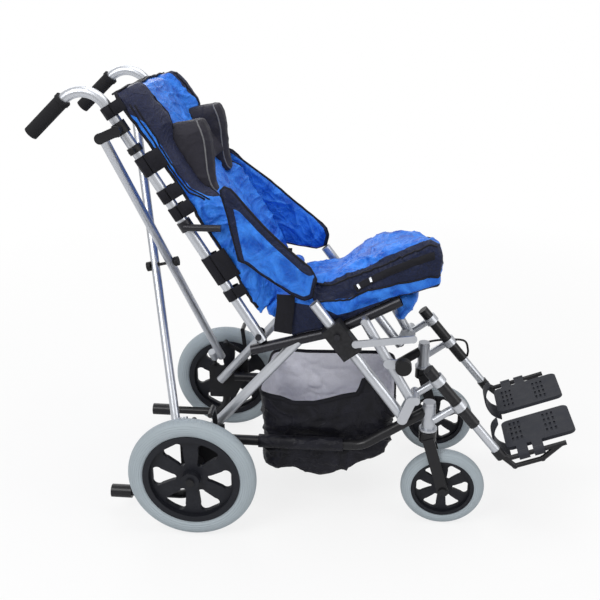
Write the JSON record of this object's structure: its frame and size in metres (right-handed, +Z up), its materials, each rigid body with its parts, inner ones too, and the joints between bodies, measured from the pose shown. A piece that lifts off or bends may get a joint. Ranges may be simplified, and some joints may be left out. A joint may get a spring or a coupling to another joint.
{
  "type": "special needs stroller",
  "caption": "Folding tube-frame stroller with reclined sling seat, side wings, head support, swivel front wheels, basket and flip-up footplates.",
  "frame": {"origin": "on the floor, midway between the grips' rearmost and the footplates' foremost points and midway between the sides", "axes": "+X forwards, the way the rider faces; +Y to the rider's left; +Z up"},
  "size_m": [1.2782, 0.6046, 1.0711],
  "materials": {
    "tube_silver": "silver powder coat, satin",
    "tube_black": "black powder coat, satin",
    "bracket_silver": "satin",
    "bracket_black": "moulded, fine grain",
    "tyre_grey": "non-marking grey rubber",
    "rim_black": "moulded, slight sheen",
    "grip_foam": "matt",
    "plate_slate": "moulded, fine grain",
    "cloth_blue": "woven nylon, padded",
    "cloth_black": "woven nylon",
    "cloth_charcoal": "knitted cover",
    "webbing": "woven webbing"
  },
  "bodies": {
    "left_frame": {"caster_housing_left": "bracket_silver", "front_leg_left": "tube_silver", "front_strut_left": "bracket_silver", "leg_clamp_left": "bracket_black", "rear_leg_left": "tube_silver", "seat_rail_left": "tube_black", "lower_rail_left": "tube_black", "axle_bracket_left": "bracket_black", "anti_tip_left": "tube_black", "hanger_sleeve_left": "grip_foam", "seat_cushion": "cloth_blue", "basket": "cloth_black"},
    "right_frame": {"caster_housing_right": "bracket_silver", "front_leg_right": "tube_silver", "front_strut_right": "bracket_silver", "leg_clamp_right": "bracket_black", "rear_leg_right": "tube_silver", "seat_rail_right": "tube_black", "lower_rail_right": "tube_black", "axle_bracket_right": "bracket_black", "anti_tip_right": "tube_black", "hanger_sleeve_right": "grip_foam"},
    "cane_left": {"back_tube_left": "tube_silver", "grip_left": "grip_foam", "brace_clamp_left": "bracket_black", "arm_bar_left": "tube_black", "back_straps": "webbing", "backrest": "cloth_blue", "wing_left": "cloth_blue", "wing_right": "cloth_blue", "head_support": "cloth_charcoal"},
    "brace_left": {"brace_tube_left": "tube_silver", "brace_bolt": "bracket_black"},
    "rear_wheel_left": {"rear_tyre_left": "tyre_grey", "rear_rim_left": "rim_black"},
    "caster_left": {"caster_fork_left": "tube_black"},
    "front_wheel_left": {"front_tyre_left": "tyre_grey", "front_rim_left": "rim_black"},
    "brake_left": {"brake_lever_left": "bracket_black"},
    "knob_left": {"frame_knob_left": "bracket_black"},
    "footrest_left": {"foot_tube_left": "tube_silver", "plate_support_left": "tube_black"},
    "plate_left": {"footplate_left": "plate_slate"},
    "cane_right": {"back_tube_right": "tube_silver", "grip_right": "grip_foam", "brace_clamp_right": "bracket_black", "arm_bar_right": "tube_black"},
    "brace_right": {"brace_tube_right": "tube_silver"},
    "rear_wheel_right": {"rear_tyre_right": "tyre_grey", "rear_rim_right": "rim_black"},
    "caster_right": {"caster_fork_right": "tube_black"},
    "front_wheel_right": {"front_tyre_right": "tyre_grey", "front_rim_right": "rim_black"},
    "brake_right": {"brake_lever_right": "bracket_black"},
    "knob_right": {"frame_knob_right": "bracket_black"},
    "footrest_right": {"foot_tube_right": "tube_silver", "plate_support_right": "tube_black"},
    "plate_right": {"footplate_right": "plate_slate"}
  },
  "joints": [
    {"name": "fold", "type": "slide", "parent": "left_frame", "child": "right_frame", "axis": [0, 1, 0], "range_m": [0, 0.22], "deforming": ["seat_cushion", "basket", "backrest", "wing_left", "wing_right", "head_support", "back_straps"]},
    {"name": "cane_left_tilt", "type": "hinge", "parent": "left_frame", "child": "cane_left", "pos_m": [-0.12587, 0.178, 0.498], "axis": [0, 1, 0], "range_deg": [0, 23.8]},
    {"name": "brace_left_swing", "type": "hinge", "parent": "left_frame", "child": "brace_left", "pos_m": [-0.31087, 0.204, 0.248], "axis": [-0.6983, 0.7134, -0.059], "range_deg": [0, 23.2]},
    {"name": "rear_wheel_left_spin", "type": "hinge", "parent": "left_frame", "child": "rear_wheel_left", "pos_m": [-0.28287, 0.272, 0.1575], "axis": [0, 1, 0], "continuous": true},
    {"name": "caster_left_swivel", "type": "hinge", "parent": "left_frame", "child": "caster_left", "pos_m": [0.28213, 0.172, 0.29], "axis": [0, 0, 1], "continuous": true},
    {"name": "front_wheel_left_spin", "type": "hinge", "parent": "caster_left", "child": "front_wheel_left", "pos_m": [0.32513, 0.172, 0.103], "axis": [0, 1, 0], "continuous": true},
    {"name": "footrest_left_length", "type": "slide", "parent": "left_frame", "child": "footrest_left", "axis": [0.6401, 0, -0.7683], "range_m": [-0.04, 0.06]},
    {"name": "footplate_left_flip", "type": "hinge", "parent": "footrest_left", "child": "plate_left", "pos_m": [0.48013, 0.184, 0.199], "axis": [-0.9298, 0, -0.3681], "range_deg": [0, 90]},
    {"name": "brake_left_lever", "type": "hinge", "parent": "left_frame", "child": "brake_left", "pos_m": [-0.22487, 0.231, 0.25], "axis": [0, -1, 0], "range_deg": [0, 20]},
    {"name": "knob_left_turn", "type": "hinge", "parent": "left_frame", "child": "knob_left", "pos_m": [0.21413, 0.225, 0.453], "axis": [0, 1, 0], "continuous": true},
    {"name": "cane_right_tilt", "type": "hinge", "parent": "right_frame", "child": "cane_right", "pos_m": [-0.12587, -0.178, 0.498], "axis": [0, 1, 0], "range_deg": [0, 23.8]},
    {"name": "brace_right_swing", "type": "hinge", "parent": "right_frame", "child": "brace_right", "pos_m": [-0.31087, -0.204, 0.248], "axis": [0.6983, 0.7134, 0.059], "range_deg": [0, 23.2]},
    {"name": "rear_wheel_right_spin", "type": "hinge", "parent": "right_frame", "child": "rear_wheel_right", "pos_m": [-0.28287, -0.272, 0.1575], "axis": [0, 1, 0], "continuous": true},
    {"name": "caster_right_swivel", "type": "hinge", "parent": "right_frame", "child": "caster_right", "pos_m": [0.28213, -0.172, 0.29], "axis": [0, 0, 1], "continuous": true},
    {"name": "front_wheel_right_spin", "type": "hinge", "parent": "caster_right", "child": "front_wheel_right", "pos_m": [0.32513, -0.172, 0.103], "axis": [0, 1, 0], "continuous": true},
    {"name": "footrest_right_length", "type": "slide", "parent": "right_frame", "child": "footrest_right", "axis": [0.6401, 0, -0.7683], "range_m": [-0.04, 0.06]},
    {"name": "footplate_right_flip", "type": "hinge", "parent": "footrest_right", "child": "plate_right", "pos_m": [0.48013, -0.184, 0.199], "axis": [0.9298, 0, 0.3681], "range_deg": [0, 90]},
    {"name": "brake_right_lever", "type": "hinge", "parent": "right_frame", "child": "brake_right", "pos_m": [-0.22487, -0.231, 0.25], "axis": [0, -1, 0], "range_deg": [0, 20]},
    {"name": "knob_right_turn", "type": "hinge", "parent": "right_frame", "child": "knob_right", "pos_m": [0.21413, -0.225, 0.453], "axis": [0, 1, 0], "continuous": true}
  ],
  "couplings": [
    {"joint": "cane_left_tilt", "follows": "fold", "rad_per_m": 1.8831},
    {"joint": "brace_left_swing", "follows": "fold", "rad_per_m": 1.8366},
    {"joint": "footplate_left_flip", "follows": "fold", "rad_per_m": 7.139},
    {"joint": "cane_right_tilt", "follows": "fold", "rad_per_m": 1.8831},
    {"joint": "brace_right_swing", "follows": "fold", "rad_per_m": 1.8366},
    {"joint": "footplate_right_flip", "follows": "fold", "rad_per_m": 7.139}
  ]
}
